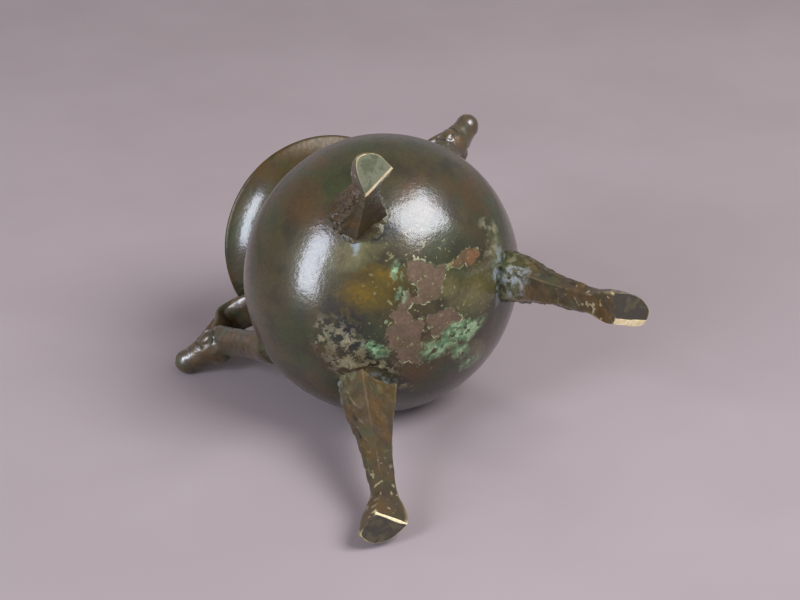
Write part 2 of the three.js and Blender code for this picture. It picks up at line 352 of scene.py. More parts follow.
def olive_patina(tree, place):
    """Old patina: olive brown, with greener, warmer and darker drifts."""
    green = cloud(tree, place, 15, 0.42, 0.64, warp=0.6)
    warm = cloud(tree, place, 19, 0.48, 0.68, warp=0.4, shift=0.31)
    dark = cloud(tree, place, 7, 0.44, 0.7, shift=0.77)
    return lay(tree, "#3f371c", ("#303619", green, 1.0), ("#4a3212", warm, 0.75), ("#201c10", dark, 0.65))


def patinated_bowl():
    """Patinated cast bronze, scraped and waxed: dark olive and glossy, with bare, green and limy marks."""
    constants = {"Metallic": 0.2, "Coat_Roughness": 0.17, "Specular_IOR_Level": 0.3}
    made, tree, shader = new_finish("patinated_bowl_bronze", **constants)
    place = add(tree, "ShaderNodeTexCoord")["Object"]
    torn = ragged(tree, ragged(tree, ragged(tree, place, 9, 9), 2.4, 3.2), 0.9, 0.9)

    amber_marks = [((42, 32), (52, 20), 11), ((64, 30), (76, 15), 7)]
    brown_marks = [((74, 60), (80, 76), 13), ((-57, 34), (-40, 31), 9), ((110, 42), (130, 50), 9)]
    dull_marks = [((-142, 15), (-152, 30), 13), ((150, 6), (-160, 14), 8)]
    moss_marks = [((-14, 57), (-10, 52), 9), ((-78, 34), (-60, 38), 5), ((2, 22), (20, 24), 6)]
    # The pale marks are partly a pale smear on the metal and partly painted highlight glow, lightening the
    # bowl round its highlights.
    pale_smear_and_glow_marks = [((66, 42), (82, 34), 9), ((-165, 36), (-178, 43), 7), ((-100, 36), (-96, 44), 7)]
    pitted_marks = [((34, 37), (-6, 32), 14), ((-44, 42), (-20, 36), 9), ((85, 36), (100, 34), 5)]
    amber = patches(tree, torn, amber_marks, edge=0.9)
    brown = patches(tree, torn, brown_marks, edge=0.9)
    dull = patches(tree, torn, dull_marks, edge=0.9)
    moss = patches(tree, torn, moss_marks, edge=0.9)
    pale = patches(tree, torn, pale_smear_and_glow_marks, edge=1.0)
    pitted = patches(tree, torn, pitted_marks, edge=0.7)
    holes = cloud(tree, place, 3.0, 0.36, 0.5, shift=0.9)
    base = lay(
        tree,
        olive_patina(tree, place),
        ("#6b540f", amber, 0.85),
        ("#4b3212", brown, 0.8),
        ("#6a623b", dull, 0.85),
        ("#26351a", moss, 0.8),
        # pale: partly a smear, partly painted highlight glow
        ("#77744f", pale, 0.75),
        ("#13181b", pitted, holes),
    )

    bare_marks = [
        ((104, 14), (130, 6), 7.5),
        ((144, 11), (120, 8), 5.5),
        ((140, 3), (50, 6), 3.6),
        ((40, 10), (-9, 20), 5.8),
        ((4, 17), (-47, 24), 5.4),
        ((-27, 14), (-34, 22), 8),
        ((-62, 10), (-104, 15), 6),
    ]
    bare = patches(tree, torn, bare_marks, edge=0.2)
    strip = patches(tree, torn, [((166, 17), (-178, 29), 4.2)], edge=0.3)
    flecks = cloud(tree, place, 2.0, 0.5, 0.6)
    fringe = lay(tree, "#6f8460", ("#a39c78", cloud(tree, place, 2.6, 0.42, 0.58, shift=0.6), 1.0))
    smears = cloud(tree, place, 3.2, 0.36, 0.66, shift=0.5)
    for mark, metal in ((bare, "#67513f"), (strip, "#765332")):
        rim = add(tree, "ShaderNodeMath", {0: mark, 1: 0.5, 2: 0.42}, operation="COMPARE")[0]
        clear = add(tree, "ShaderNodeMapRange", {"Value": mark, "From Min": 0.6, "From Max": 0.85})[0]
        scrape = lay(tree, metal, ("#534730", smears, 0.8))
        base = lay(tree, base, (fringe, rim, flecks), (scrape, clear, 0.95))

    salt_marks = [
        ((-112, 25), (-84, 20), 7),
        ((-84, 20), (-62, 21), 6.5),
        ((-118, 28), (-104, 20), 5),
        ((-86, 27), (-90, 31), 5.5),
        ((-90, 39), (-94, 43), 4.6),
        ((-2, 29), (-10, 27), 5),
        ((73, 15), (84, 22), 2.8),
        ((44, 10), (56, 13), 2.4),
    ]
    crumbs = cloud(tree, place, 1.7, 0.38, 0.48, detail=4)
    salt = patches(tree, torn, salt_marks, edge=0.7)
    salt = add(tree, "ShaderNodeMath", {0: salt, 1: crumbs}, operation="MULTIPLY")[0]
    green = lay(tree, "#557750", ("#8faa80", cloud(tree, place, 2.0, 0.42, 0.58, shift=0.2), 1.0))

    lime_marks = [
        ((16, 39), (-2, 35), 11),
        ((2, 43), (-18, 40), 9),
        ((-12, 36), (-34, 34), 7),
        ((-34, 37), (-50, 42), 4),
        ((22, 46), (10, 46), 6),
        ((172, 42), (178, 50), 5),
        ((-172, 34), (-176, 40), 5),
        ((-166, 39), (-152, 38), 4),
    ]
    smear_marks = [((-20, 44), (-42, 43), 3.6), ((-170, 40), (-134, 35), 5), ((72, 38), (78, 44), 3)]
    broken = cloud(tree, place, 2.6, 0.47, 0.55, detail=5, rough=0.68)
    lime = patches(tree, torn, lime_marks, edge=0.9)
    lime = add(tree, "ShaderNodeMath", {0: lime, 1: broken}, operation="MULTIPLY")[0]
    wiped = cloud(tree, place, 2.2, 0.42, 0.56, shift=1.7)
    smear = patches(tree, torn, smear_marks, edge=0.6)
    underside = patches(tree, place, [((0, 0), (0, 0), 46)], edge=0.5)
    dust = cloud(tree, place, 1.3, 0.62, 0.69, detail=2)
    fine = cloud(tree, place, 0.9, 0.3, 0.7)
    base = lay(
        tree,
        base,
        (green, salt, 1.0),
        ("#8d8464", lime, 0.9),
        ("#828c8c", smear, wiped),
        ("#7f7a50", underside, dust),
        ("#171409", fine, 0.3),
    )

    crust = add(tree, "ShaderNodeMath", {0: salt, 1: lime}, operation="MAXIMUM")[0]
    rough = add(tree, "ShaderNodeMapRange", {"Value": fine, "To Min": 0.34, "To Max": 0.42})[0]
    rough = add(tree, "ShaderNodeMix", {0: bare, 2: rough, 3: 0.55})[0]
    rough = add(tree, "ShaderNodeMix", {0: crust, 2: rough, 3: 0.85})[0]
    waves = cloud(tree, place, 4, 0.2, 0.8, detail=4, rough=0.6)
    relief = add(tree, "ShaderNodeMath", {0: waves, 1: 2.5, 2: fine}, operation="MULTIPLY_ADD")[0]
    relief = add(tree, "ShaderNodeMath", {0: relief, 1: 0.1}, operation="MULTIPLY")[0]
    relief = add(tree, "ShaderNodeMath", {0: crust, 1: 0.5, 2: relief}, operation="MULTIPLY_ADD")[0]
    relief = add(tree, "ShaderNodeMath", {0: bare, 1: -0.15, 2: relief}, operation="MULTIPLY_ADD")[0]

    # The wax has worn off one spot near the mouth's edge, and off the lip itself.
    dull_spot = (CENTRE + azimuth(118) @ Vector((26, 0, 39))) * MM
    far = add(tree, "ShaderNodeVectorMath", {0: torn, 1: dull_spot}, operation="DISTANCE")["Value"]
    away = {"Value": far, "From Min": 10 * MM, "From Max": 20 * MM, "To Max": 0.9}
    coat = add(tree, "ShaderNodeMapRange", away)[0]
    height = add(tree, "ShaderNodeSeparateXYZ", {0: place})["Z"]
    lip = {
        "Value": height,
        "From Min": (bowl_high.z - 1.4) * MM,
        "From Max": (bowl_high.z - 1.0) * MM,
        "To Min": 1.0,
        "To Max": 0.1,
    }
    waxed = add(tree, "ShaderNodeMapRange", lip)[0]
    coat = add(tree, "ShaderNodeMath", {0: coat, 1: waxed}, operation="MULTIPLY")[0]
    tree.links.new(coat, shader.inputs["Coat Weight"])
    surface(tree, shader, base, rough, relief, 0.00012)
    return made


def patinated_limb(name, high, grain, gloss):
    """Patinated cast bronze, handled: brown, lighter where it stands proud and dirty in the hollows."""
    made, tree, shader = new_finish(name, Metallic=0.25, Coat_Weight=gloss, Coat_Roughness=0.2)
    place = add(tree, "ShaderNodeTexCoord")["Object"]
    warm = cloud(tree, place, grain, 0.34, 0.68, shift=0.13, warp=0.4)
    mossy = cloud(tree, place, grain, 0.46, 0.74, shift=0.47)
    dusky = cloud(tree, place, grain * 0.5, 0.4, 0.7, shift=0.9)
    proud = add(tree, "ShaderNodeAttribute", attribute_name="proud")["Fac"]
    worn = add(tree, "ShaderNodeMapRange", {"Value": proud, "From Min": 0.3, "From Max": 1.6})[0]
    hollow = add(tree, "ShaderNodeMapRange", {"Value": proud, "From Min": -0.1, "From Max": -0.9})[0]
    rubbed = cloud(tree, place, 5, 0.44, 0.6, shift=0.66)
    parts = add(tree, "ShaderNodeSeparateXYZ", {0: place})
    up, across = parts["Z"], parts["Y"]
    low = add(tree, "ShaderNodeMapRange", {"Value": up, "From Min": 20 * MM, "From Max": 8 * MM})[0]
    limy = cloud(tree, place, 1.6, 0.62, 0.7, detail=1)
    sole = add(tree, "ShaderNodeMapRange", {"Value": up, "From Min": 0.4 * MM, "From Max": 0.1 * MM})[0]
    rim = add(tree, "ShaderNodeMapRange", {"Value": up, "From Min": 1.2 * MM, "From Max": 0.5 * MM})[0]
    front = add(tree, "ShaderNodeMapRange", {"Value": across, "From Min": 10 * MM, "From Max": 30 * MM})[0]
    torn = ragged(tree, ragged(tree, place, 5, 5), 1.6, 2)
    root_marks = [((-172, 43), (-136, 42), 12), ((-10, 47), (-52, 47), 11)]
    roots = patches(tree, torn, root_marks, edge=0.9)
    silver_marks = [((-166, 37), (-140, 35), 3.4), ((-14, 51), (-42, 49), 6.4), ((-36, 45), (-48, 43), 5)]
    silver = patches(tree, torn, silver_marks, edge=0.7)
    broken = cloud(tree, place, 2.2, 0.38, 0.54, shift=1.1)
    wiped = cloud(tree, place, 2.4, 0.46, 0.6, shift=0.23)
    swirl = cloud(tree, place, 3, 0.46, 0.62, shift=1.3, warp=1.0)
    ground = lay(
        tree,
        "#38332a",
        ("#4a4532", swirl, 1.0),
        ("#767960", front, 0.85),
        ("#585d45", swirl, front),
    )
    fine = cloud(tree, place, 0.6, 0.3, 0.7)
    base = lay(
        tree,
        "#463a27",
        ("#593f16", warm, 0.85),
        ("#36432a", mossy, 0.7),
        ("#2d261a", dusky, 0.5),
        ("#17140c", hollow, 0.8),
        ("#3f4928", roots, 0.85),
        ("#7f7a5a", roots, wiped),
        ("#a2a8a5", silver, broken),
        (high, worn, rubbed),
        ("#8b8060", low, limy),
        (ground, sole, 1.0),
        ("#b5a676", rim, worn),
    )
    rough = add(tree, "ShaderNodeMapRange", {"Value": fine, "To Min": 0.34, "To Max": 0.48})[0]
    surface(tree, shader, base, rough, fine, 0.00002)
    return made


def filed_brass():
    """Bare metal at the hoof's filed edge: pale yellow, satin, with file marks."""
    made, tree, shader = new_finish("filed_bare_bronze", Metallic=0.35)
    place = add(tree, "ShaderNodeTexCoord")["Object"]
    marks = cloud(tree, place, 0.7, 0.3, 0.7)
    base = lay(tree, "#eee0b8", ("#cdb57f", marks, 0.8))
    rough = add(tree, "ShaderNodeMapRange", {"Value": marks, "To Min": 0.35, "To Max": 0.5})[0]
    surface(tree, shader, base, rough, marks, 0.00003)
    return made


def soft_solder():
    """Tin-lead solder, wiped on hot and coloured over: silvery where that has gone, limy in its hollows."""
    made, tree, shader = new_finish("soft_solder", Metallic=0.4, Coat_Weight=0.25, Coat_Roughness=0.25)
    place = add(tree, "ShaderNodeTexCoord")["Object"]
    torn = ragged(tree, place, 3, 4)
    silver_marks = [((-14, 44), (-44, 40), 7), ((-172, 42), (-138, 37), 8), ((72, 40), (78, 44), 3)]
    silver = patches(tree, torn, silver_marks, edge=0.8)
    broken = cloud(tree, place, 2.6, 0.42, 0.56, shift=0.2)
    crust = cloud(tree, place, 2.0, 0.56, 0.64, shift=0.4)
    metal = lay(tree, "#6f787a", ("#59685c", cloud(tree, place, 2.4, 0.45, 0.6), 1.0))
    base = lay(
        tree,
        olive_patina(tree, place),
        (metal, silver, broken),
        ("#8a866a", silver, crust),
        ("#5f5a3c", crust, 0.25),
    )
    rough = add(tree, "ShaderNodeMapRange", {"Value": crust, "To Min": 0.45, "To Max": 0.75})[0]
    surface(tree, shader, base, rough, cloud(tree, place, 1.0, 0.2, 0.8), 0.00008)
    return made


def hammered_pin():
    """Bronze wire, hammered to a dome: brown, dull, with lighter dents."""
    made, tree, shader = new_finish("hammered_pin_bronze", Metallic=0.8)
    place = add(tree, "ShaderNodeTexCoord")["Object"]
    dents = cloud(tree, place, 0.9, 0.35, 0.65)
    base = lay(tree, "#5d4a2a", ("#8c7140", dents, 1.0))
    rough = add(tree, "ShaderNodeMapRange", {"Value": dents, "To Min": 0.5, "To Max": 0.35})[0]
    surface(tree, shader, base, rough, dents, 0.0001)
    return made


def cream_glaze():
    """Lead-glazed earthenware: cream, wet-looking, with fine crazing and old ink inside."""
    made, tree, shader = new_finish("cream_glaze", Metallic=0.0, Coat_Weight=0.6, Coat_Roughness=0.06)
    place = add(tree, "ShaderNodeTexCoord")["Object"]
    tint = cloud(tree, place, 12, 0.35, 0.7)
    cells = {"Vector": ragged(tree, place, 3, 1.0), "Scale": 1 / (2.4 * MM)}
    craze = add(tree, "ShaderNodeTexVoronoi", cells, feature="DISTANCE_TO_EDGE")["Distance"]
    crack = add(tree, "ShaderNodeMapRange", {"Value": craze, "From Min": 0.03, "From Max": 0.0})[0]
    parts = add(tree, "ShaderNodeSeparateXYZ", {0: ragged(tree, place, 5, 6.0)})
    level = {"Value": parts["Z"], "From Min": (CENTRE.z + 12) * MM, "From Max": (CENTRE.z - 2) * MM}
    low = add(tree, "ShaderNodeMapRange", level, interpolation_type="SMOOTHSTEP")[0]
    flat = add(tree, "ShaderNodeVectorMath", {0: place, 1: (0, CENTRE.y * MM, 0)}, operation="SUBTRACT")[0]
    flat = add(tree, "ShaderNodeVectorMath", {0: flat, 1: (1, 1, 0)}, operation="MULTIPLY")[0]
    far = add(tree, "ShaderNodeVectorMath", {0: flat}, operation="LENGTH")["Value"]
    within = add(tree, "ShaderNodeMath", {0: far, 1: 15.7 * MM}, operation="LESS_THAN")[0]
    inked = add(tree, "ShaderNodeMath", {0: low, 1: within}, operation="MULTIPLY")[0]
    base = lay(tree, "#e2dac2", ("#cfc4a2", tint, 1.0), ("#8d7d5c", crack, 0.55), ("#1c2030", inked, 0.92))
    rough = add(tree, "ShaderNodeMapRange", {"Value": inked, "To Min": 0.18, "To Max": 0.5})[0]
    surface(tree, shader, base, rough, crack, -0.00003)
    return made


# ---- bowl ----
BODY_STEPS = 90
NECK_STEPS = 40


def bowl_outline():
    """Half of the bowl's section from its bottom, over the lip and back inside to its floor."""
    lip = 0.5
    lip_centre = Vector((RIM_RADIUS - lip, RIM_HEIGHT - lip))

    def body(inset):
        start = -math.pi / 2
        turns = [start + (SHOULDER - start) * step / BODY_STEPS for step in range(BODY_STEPS + 1)]
        return [
            Vector(((BOWL_RADIUS - inset) * max(math.cos(turn), 0), (HALF_HEIGHT - inset) * math.sin(turn)))
            for turn in turns
        ]

    def neck(start, inset, end):
        low_pull = Vector((17.6 - inset, 26.4, 0))
        high_pull = Vector((20.2 - inset, 35.6 + inset / 2, 0))
        curve = interpolate_bezier(start.to_3d(), low_pull, high_pull, end.to_3d(), NECK_STEPS)
        return [point.xy for point in curve]

    outer, inner = body(0), body(BOWL_WALL)
    round_lip = [
        lip_centre + lip * Vector((math.cos(turn), math.sin(turn)))
        for turn in (-0.9, -0.3, 0.3, 0.9, 1.5, 2.1)
    ]
    outer += neck(outer[-1], 0, round_lip[0])[1:]
    inner += neck(inner[-1], NECK_WALL, round_lip[-1])[1:]
    return outer + round_lip[1:-1] + inner[::-1]


def make_bowl(finish):
    bm = turned(bowl_outline(), 224)
    uneven(bm, 0.1, 11)
    uneven(bm, 0.02, 2.5)
    finished(bm, "bowl_shell", finish, "inkwell", ["bowl"])


# ---- legs ----
# Each leg is made over +X from the bowl's centre. A section is a ring of seven points: the front, the left
# side, two back corners and the right side.
THIGH = [(1, 0), (0.75, 0.72), (0.05, 1), (-0.82, 0.74), (-0.82, -0.74), (0.05, -1), (0.75, -0.72)]
BACK_CORNERS = (3, 4)
# The soles were filed by hand, each to its own outline: (out from the middle of the sole, to the left).
LEGS = {
    "right": {
        "sole": [(4.2, 0.6), (4.3, 3.3), (2.8, 5.2), (-2.8, 3.9), (-3.0, -5.1), (-0.6, -4.1), (2.4, -2.1)],
        "filed": 3,
        "filed_width": 0.6,
        "stout": 0.95,
        "sway": -0.7,
    },
    "left": {
        "sole": [(3.8, 0.8), (4.2, 2.6), (1.9, 5.3), (-5.0, 3.8), (-5.3, -4.1), (-2.2, -3.4), (1.6, -1.7)],
        "filed": 2,
        "filed_width": 1.5,
        "stout": 0.8,
        "sway": 0.3,
    },
    "front": {
        "sole": [(4.1, -0.2), (3.4, 1.9), (1.3, 3.7), (-3.0, 4.5), (-4.2, -3.9), (0.2, -3.0), (3.3, -1.6)],
        "filed": 3,
        "filed_width": 0.6,
        "stout": 0.88,
        "sway": 0.0,
    },
}
FILED_SLOPE = math.radians(66)
THIGH_ROW = 0.04  # shares of the sheet's rows: the closed top,
RIM_ROW = 0.84  # the sole's edge,
SOLE_ROW = 0.88  # and where the flat sole starts


def leg_stations(reach, stout):
    """The leg from root to hoof: out, up, tilt, half-width, half-depth, shares of sole outline and sway."""
    seat, normal = bowl_face(LEG_ROOT)
    ground = -CENTRE.z
    ankle = Vector((reach - 5.2, 0, ground + 9.2))
    root = seat - normal * 1.5
    down = ankle - seat
    lean = math.atan2(down.x, -down.z)
    shapes = (
        (0.0, 7.2, 5.6, 0.0, 0.0),
        (0.2, 6.3, 5.0, 0.1, 0.1),
        (0.4, 4.7, 3.9, 0.0, 0.4),
        (0.6, 3.5, 3.0, -0.2, 0.8),
        (0.8, 3.0, 2.6, -0.3, 1.2),
        (1.0, 3.1, 2.6, -0.2, 1.5),
    )
    stations = [(root.x, root.z, lean, 7.2 * stout, 5.6, 0, 0)]
    for share, width, depth, bulge, sway in shapes:
        point = seat + down * share
        slim = stout + (1 - stout) * smooth(share, 0.3, 0.8)
        stations.append((point.x + bulge, point.z + bulge * 0.6, lean, width * slim, depth, 0, sway))
    stations.append((reach - 3.3, ground + 6.2, lean * 0.6, 3.6, 3.1, 0.3, 1.5))
    stations.append((reach - 1.3, ground + 3.0, lean * 0.25, 4.4, 3.9, 0.75, 0.7))
    stations.append((reach - 0.1, ground + 0.7, 0, 5, 4.4, 1.0, 0))
    return [Vector(station) for station in stations]


def tuft(along, around):
    """The height, from 0 to 1, of short locks of hair that overlap like shingles down the thigh."""
    row_length = 3.4
    lock_width = 2.7
    best = 0.0
    for step in (0, 1):
        row = math.floor(along / row_length) - step
        down = (along / row_length - row) / 1.55
        if down > 1:
            continue
        across = around / lock_width + 0.5 * (row % 2)
        across += 0.35 * math.sin(row * 2.1)
        across += 0.3 * math.sin(down * 2.6)
        off = abs(across - math.floor(across) - 0.5) * 2
        reach = (1 - down**3) ** 0.5
        if off < reach:
            strands = 0.85 + 0.15 * math.cos(across * 6 * math.pi)
            best = max(best, (0.35 + 0.65 * down) * (1 - (off / reach) ** 2) ** 0.5 * strands)
    return best


def file_edge(bm, sole, first, width, reach, ground):
    """Files one edge of the sole to a bright bevel, from one corner of its outline to the next."""
    start, end = sole[first], sole[first + 1]
    along = (end - start).normalized()
    away = Vector((-along.y, along.x))
    away = away if away.dot(start) > 0 else -away
    edge = start - away * width
    bevel = Vector((away.x * math.cos(FILED_SLOPE), away.y * math.cos(FILED_SLOPE), -math.sin(FILED_SLOPE)))
    cut = bmesh.ops.bisect_plane(
        bm,
        geom=bm.verts[:] + bm.edges[:] + bm.faces[:],
        plane_co=(reach + edge.x, edge.y, ground),
        plane_no=bevel,
        clear_outer=True,
    )
    rim = [part for part in cut["geom_cut"] if isinstance(part, bmesh.types.BMEdge)]
    filled = bmesh.ops.contextual_create(bm, geom=rim)
    for face in filled["faces"]:
        face.material_index = 1


def make_leg(side, finish, filed_finish):
    sole_middle = SOLES[f"{side}_sole"]
    reach = sole_middle.xy.length
    turn_to = math.degrees(math.atan2(sole_middle.y, sole_middle.x))
    stout, sway = LEGS[side]["stout"], LEGS[side]["sway"]
    stations = leg_stations(reach, stout)
    thigh = [Vector(point) for point in THIGH]
    sole = [Vector(point) for point in LEGS[side]["sole"]]
    ground = -CENTRE.z

    def place(turn, row):
        body = min(max((row - THIGH_ROW) / (RIM_ROW - THIGH_ROW), 0), 1)
        out, up, tilt, width, depth, own, swayed = through(stations, body)
        round_section = through(thigh, turn, BACK_CORNERS, closed=True)
        filed = through(sole, turn, BACK_CORNERS, closed=True)
        section = Vector((round_section.x * depth, round_section.y * width)).lerp(filed, own)
        ahead = Vector((math.cos(tilt), 0, math.sin(tilt)))
        middle = Vector((out, swayed * sway, up))
        point = middle + ahead * section.x + Vector((0, section.y, 0))
        if row < THIGH_ROW:
            return middle.lerp(point, smooth(row / THIGH_ROW))
        length = body * 42
        hairy = smooth(abs(turn - 0.5), 0.13, 0.2) * (1 - smooth(length, 22, 29)) * smooth(length, 1, 4)
        if hairy > 0:
            lean = ahead * section.x + Vector((0, section.y, 0))
            centred = turn if turn < 0.5 else turn - 1
            point += lean.normalized() * 0.95 * hairy * tuft(length, centred * 2 * math.pi * width)
        if row > RIM_ROW:
            edge = Vector((point.x, point.y, ground))
            point = point.lerp(edge, min((row - RIM_ROW) / (SOLE_ROW - RIM_ROW), 1))
            inwards = smooth(row, RIM_ROW, SOLE_ROW) * 0.04 + max(row - SOLE_ROW, 0) / (1 - SOLE_ROW) * 0.96
            point = point.lerp(Vector((reach, 0, ground)), inwards)
        return point

    bm = sleeve(112, 220, place)
    uneven(bm, 0.12, 3.2)
    uneven(bm, 0.05, 1.1)
    for vert in bm.verts:
        vert.co.z = max(vert.co.z, ground)
    file_edge(bm, sole, LEGS[side]["filed"], LEGS[side]["filed_width"], reach, ground)
    piece = finished(
        bm,
        f"leg_{side}_casting",
        finish,
        "inkwell",
        [f"leg_{side}"],
        azimuth(turn_to),
        sharp=35,
    )
    piece.data.materials.append(filed_finish)


# ---- solder round the legs and lugs ----
def solder_skirt(angle, reach, rise, seed):
    """A wiped fillet round a limb's root: a disc laid on the bowl, its middle drawn up round the limb."""
    seat, normal = bowl_face(angle)
    along = Vector((-normal.z, 0, normal.x))

    def place(turn, row):
        facing = turn * 2 * math.pi
        way = along * math.cos(facing) + Vector((0, math.sin(facing), 0))
        broad = noise.noise(way * 1.7 + Vector((seed, 0, 0)))
        fringe = noise.noise(way * 5 + Vector((0, seed, 0)))
        ragged_reach = reach + 1.2 * broad + 0.5 * fringe
        top = row < 0.7
        share = row / 0.7 if top else (1 - row) / 0.3
        flat = seat + way * ragged_reach * share
        scaled = Vector((flat.x / BOWL_RADIUS, flat.y / BOWL_RADIUS, flat.z / HALF_HEIGHT)).length
        out = Vector((flat.x / BOWL_RADIUS**2, flat.y / BOWL_RADIUS**2, flat.z / HALF_HEIGHT**2)).normalized()
        lumps = 0.3 * noise.noise(flat * 0.7) * smooth(1 - share, 0, 0.3)
        height = rise * (1 - smooth(share, 0.45, 1.02)) ** 1.5 + lumps + 0.12 if top else -0.5
        return flat / scaled + out * height

    return sleeve(96, 60, place)


def make_leg_solder(side, finish, seed):
    sole_middle = SOLES[f"{side}_sole"]
    turn_to = math.degrees(math.atan2(sole_middle.y, sole_middle.x))
    bm = solder_skirt(LEG_ROOT, 8.3 * LEGS[side]["stout"], 1.3, seed)
    uneven(bm, 0.12, 1.3)
    finished(bm, f"solder_leg_{side}", finish, "inkwell", [f"leg_solder_{side}"], azimuth(turn_to))


# ---- lugs ----
# Each lug is made over +X from the bowl's centre: a neck that climbs to a long head, whose snout looks out,
# and a bar from the back of the head to the lip.
def limb(stations):
    """A tapering limb along stations of (out, up, half-width, half-thickness)."""
    points = [Vector(station) for station in stations]

    def place(turn, row):
        body = smooth(row, 0, 1)
        here = through(points, body)
        ahead = through(points, min(body + 0.01, 1)) - through(points, max(body - 0.01, 0))
        way = Vector((ahead.x, 0, ahead.y)).normalized()
        side = Vector((-way.z, 0, way.x))
        close = min(smooth(row, 0, 0.08), smooth(1 - row, 0, 0.08)) ** 0.5
        angle = turn * 2 * math.pi
        offset = side * math.cos(angle) * here.w + Vector((0, math.sin(angle) * here.z, 0))
        return Vector((here.x, 0, here.y)) + offset * close

    return sleeve(40, 90, place)


SNOUT = Vector((49.2, 0, 36.9))
HEAD_WAY = Vector((0.872, 0, 0.489))  # the way the head looks
HEAD_TOP = Vector((-0.489, 0, 0.872))


def head_point(back, left=0.0, top=0.0):
    """A point of the head: behind the middle of the snout, to the left and towards its top."""
    return SNOUT - HEAD_WAY * back + HEAD_TOP * top + Vector((0, left, 0))


def lug_shape():
    """The lug's masses, run together."""
    bm = bmesh.new()
    neck = [
        (29.5, 7.0, 4.8, 4.2),
        (32.6, 10.8, 4.8, 3.7),
        (34.5, 16, 4.7, 2.9),
        (35.7, 21, 4.6, 2.7),
        (37.2, 26.5, 4.5, 3.0),
        (38.7, 31.0, 5.0, 3.4),
    ]
    join(bm, limb(neck))
    head = [
        (37.6, 30.2, 4.8, 3.2),
        (40.5, 32.0, 4.9, 3.4),
        (42.7, 33.2, 4.5, 3.3),
        (44.8, 34.4, 4.0, 2.9),
        (47.5, 35.8, 3.4, 2.7),
        (50.0, 37.4, 2.9, 2.4),
    ]
    join(bm, limb(head))
    brow = [
        (46.5, 37.0, 2.0, 1.2),
        (43.0, 36.0, 3.6, 2.0),
        (39.6, 36.2, 4.3, 2.2),
        (35.9, 38.4, 4.3, 1.4),
    ]
    join(bm, limb(brow))
    bar = [
        (39.6, 32.6, 4.0, 1.9),
        (36.6, 35.6, 4.2, 1.7),
        (34.6, 38.2, 4.9, 1.3),
        (31.0, 39.4, 4.1, 1.1),
        (27.6, 38.9, 3.5, 0.9),
    ]
    strap = limb(bar)
    bmesh.ops.translate(strap, verts=strap.verts, vec=(0, 0.6, 0))
    join(bm, strap)
    web = [(34.6, 37.4, 3.4, 0.9), (31.6, 38.0, 4.2, 1.2), (28.2, 36.6, 4.8, 1.9), (25.2, 35.0, 4.2, 1.8)]
    join(bm, limb(web))
    ball(bm, SNOUT, (3.5, 3.3, 3.0), 29)
    for side in (-1, 1):
        ball(bm, head_point(8.8, side * 3.6, -0.4), (2.6, 1.4, 2.2), 29)
        ball(bm, head_point(6.4, side * 2.9, 2.0), (1.9, 1.0, 0.8), 29)
        ball(bm, head_point(6.6, side * 3.4, 0.9), (0.85, 0.7, 0.85))
    return bm


def carve_lug(bm):
    """Presses in the mouth, nostrils, eye sockets and the hair of the neck."""
    bm.normal_update()
    for vert in bm.verts:
        x, y, z = vert.co
        side = abs(y)
        back = (SNOUT - vert.co).dot(HEAD_WAY)
        top = (vert.co - SNOUT).dot(HEAD_TOP)
        nostril = head_point(-2.9, math.copysign(1.2, y), 1.2)
        depth = 0.55 * hump((vert.co - nostril).length, 0.6)
        mouth = hump(top + 0.5 + 0.12 * back, 0.3)
        depth += 0.4 * mouth * (1 - smooth(back, 2.5, 4.5)) * smooth(side, 0.5, 2)
        socket = math.hypot(math.hypot(back - 6.6, top - 1.0) - 1.0, max(3.0 - side, 0))
        depth += 0.32 * hump(socket, 0.32)
        jaw = math.hypot(back - 8.6, top + 0.6)
        depth += 0.34 * hump(jaw - 2.9, 0.4) * smooth(side, 2, 3)
        mane = smooth(z, 11, 15) * (1 - smooth(z, 29, 33)) * smooth(x, 35, 37)
        locks = math.sin(z * 2.1 + side * 1.4 + 1.5 * noise.noise(vert.co * 0.3))
        depth += 0.16 * mane * (0.5 + 0.5 * locks) * smooth(vert.normal.x, -0.1, 0.6)
        vert.co -= vert.normal * depth


def make_lug(side, turn_to, finish):
    bm = fused(lug_shape(), 0.24)
    for _ in range(4):
        bmesh.ops.smooth_vert(
            bm, verts=bm.verts, factor=0.5, use_axis_x=True, use_axis_y=True, use_axis_z=True
        )
    carve_lug(bm)
    uneven(bm, 0.1, 2.2)
    finished(
        bm,
        f"lug_{side}_casting",
        finish,
        "inkwell",
        [f"handle_{side}"],
        azimuth(turn_to),
        sharp=80,
    )


def make_lug_solder(side, turn_to, finish, seed):
    place = azimuth(turn_to)
    root = solder_skirt(LUG_ROOT, 6.4, 1.8, seed)
    uneven(root, 0.1, 1.3)
    root_node, lip_node = f"handle_root_solder_{side}", f"handle_lip_solder_{side}"
    finished(root, f"solder_lug_{side}_root", finish, "inkwell", [root_node], place)
    bead = bmesh.new()
    ball(bead, (28.6, 0, 38.4), (1.3, 4.0, 0.8), 24)
    ball(bead, (29.4, 1.2, 38.2), (1.3, 2.2, 0.7), 24)
    ball(bead, (27.8, -1.6, 37.8), (1.0, 2.0, 0.7), 24)
    bead = fused(bead, 0.2)
    uneven(bead, 0.2, 1.1)
    finished(bead, f"solder_lug_{side}_lip", finish, "inkwell", [lip_node], place)


